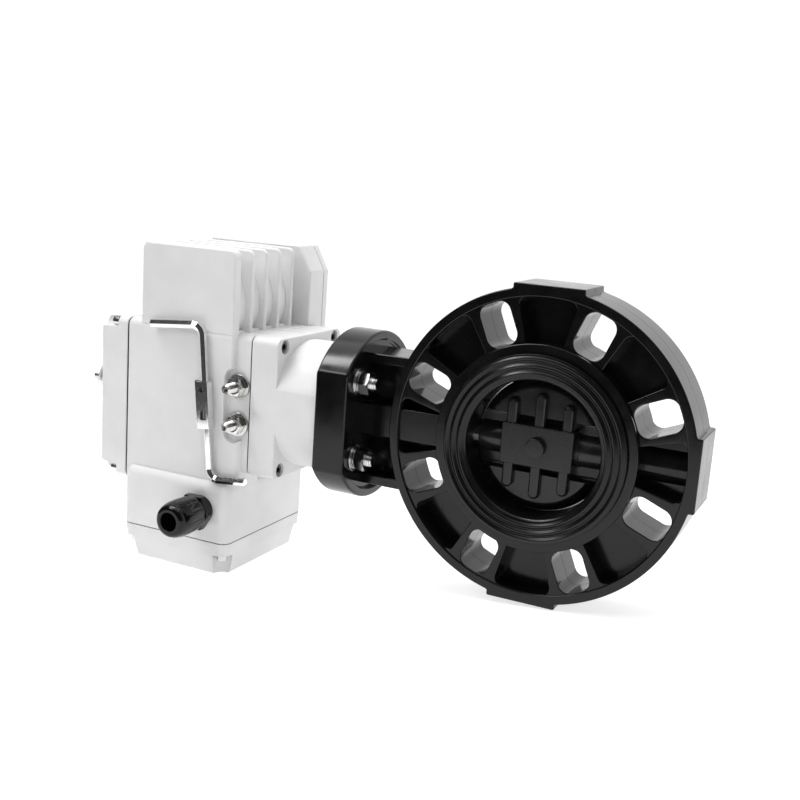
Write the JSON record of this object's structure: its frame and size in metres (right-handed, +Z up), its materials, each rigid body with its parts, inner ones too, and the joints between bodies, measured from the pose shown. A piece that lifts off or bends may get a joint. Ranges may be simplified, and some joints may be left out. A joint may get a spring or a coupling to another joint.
{
  "type": "motorised butterfly valve",
  "caption": "Wafer butterfly valve of black plastic with a rubber seat and a ribbed disc, turned a quarter turn by a light grey electric actuator on its neck flange.",
  "frame": {"origin": "centre of the bore, in the disc's middle plane", "axes": "+X along the stem, away from the actuator; Y along the flow, with the pictured front at -Y; +Z up, square to the stem"},
  "size_m": [0.5338, 0.166, 0.2615],
  "materials": {
    "black_pvc": "satin, moulded",
    "black_rubber": "smooth, slightly glossy",
    "grey_powder_coat": "fine powder coat",
    "stainless_steel": "bright, machined",
    "black_nylon": "glossy",
    "bronze": "machined",
    "copper": "varnished windings",
    "white_polymer": "satin",
    "red_plastic": "satin",
    "clear_plastic": "clear, polished"
  },
  "bodies": {
    "housing": {"flange_nut_1": "stainless_steel", "flange_nut_2": "stainless_steel", "flange_nut_3": "stainless_steel", "flange_nut_4": "stainless_steel", "flange_stud_1": "stainless_steel", "flange_stud_2": "stainless_steel", "flange_stud_3": "stainless_steel", "flange_stud_4": "stainless_steel", "gear_housing": "grey_powder_coat", "gland_body": "black_nylon", "gland_nut": "black_nylon", "gland_seal": "black_rubber", "indicator_cover": "grey_powder_coat", "indicator_cover_screw_1": "stainless_steel", "indicator_cover_screw_2": "stainless_steel", "indicator_cover_screw_3": "stainless_steel", "indicator_cover_screw_4": "stainless_steel", "indicator_gasket": "black_rubber", "indicator_window": "clear_plastic", "key_clip": "stainless_steel", "key_clip_screw_bottom": "stainless_steel", "key_clip_screw_top": "stainless_steel", "limit_switch_close": "black_nylon", "limit_switch_open": "black_nylon", "lower_stem_bush": "white_polymer", "motor_cover": "grey_powder_coat", "motor_end_bell": "grey_powder_coat", "motor_stator": "copper", "output_bearing": "stainless_steel", "output_cover": "grey_powder_coat", "output_cover_screw_1": "stainless_steel", "output_cover_screw_2": "stainless_steel", "output_cover_screw_3": "stainless_steel", "output_cover_screw_4": "stainless_steel", "seat_liner": "black_rubber", "stem_clip": "stainless_steel", "stem_seal_ring": "black_rubber", "stop_nut_close": "stainless_steel", "stop_nut_open": "stainless_steel", "stop_screw_close": "stainless_steel", "stop_screw_open": "stainless_steel", "terminal_block": "white_polymer", "terminal_cover": "grey_powder_coat", "terminal_cover_screw_1": "stainless_steel", "terminal_cover_screw_2": "stainless_steel", "terminal_cover_screw_3": "stainless_steel", "terminal_cover_screw_4": "stainless_steel", "upper_stem_bush": "white_polymer", "valve_body": "black_pvc", "window_screw": "stainless_steel"},
    "disc_drive": {"disc": "black_pvc", "stem": "stainless_steel", "drive_sleeve": "stainless_steel", "worm_wheel": "bronze", "cam_stack": "white_polymer", "position_pointer": "red_plastic"},
    "worm": {"worm_shaft": "stainless_steel"},
    "idler": {"idler_gear": "stainless_steel"},
    "rotor": {"motor_rotor": "stainless_steel"},
    "key": {"crank_key": "stainless_steel"}
  },
  "joints": [
    {"name": "valve_turn", "type": "hinge", "parent": "housing", "child": "disc_drive", "pos_m": [0, 0, 0], "axis": [-1, 0, 0], "range_deg": [0, 90]},
    {"name": "worm_spin", "type": "hinge", "parent": "housing", "child": "worm", "pos_m": [-0.3106, 0, 0.03], "axis": [0, 1, 0], "range_deg": [0, 2160]},
    {"name": "idler_spin", "type": "hinge", "parent": "housing", "child": "idler", "pos_m": [-0.30508, 0, 0.06557], "axis": [0, 1, 0], "range_deg": [-1728, 0]},
    {"name": "rotor_spin", "type": "hinge", "parent": "housing", "child": "rotor", "pos_m": [-0.2789, 0, 0.0755], "axis": [0, 1, 0], "range_deg": [0, 4320]},
    {"name": "key_slide", "type": "slide", "parent": "housing", "child": "key", "axis": [-0.0958, 0, 0.9954], "range_m": [0, 0.022]}
  ],
  "couplings": [
    {"joint": "worm_spin", "follows": "valve_turn", "ratio": 24},
    {"joint": "idler_spin", "follows": "valve_turn", "ratio": -19.2},
    {"joint": "rotor_spin", "follows": "valve_turn", "ratio": 48}
  ]
}
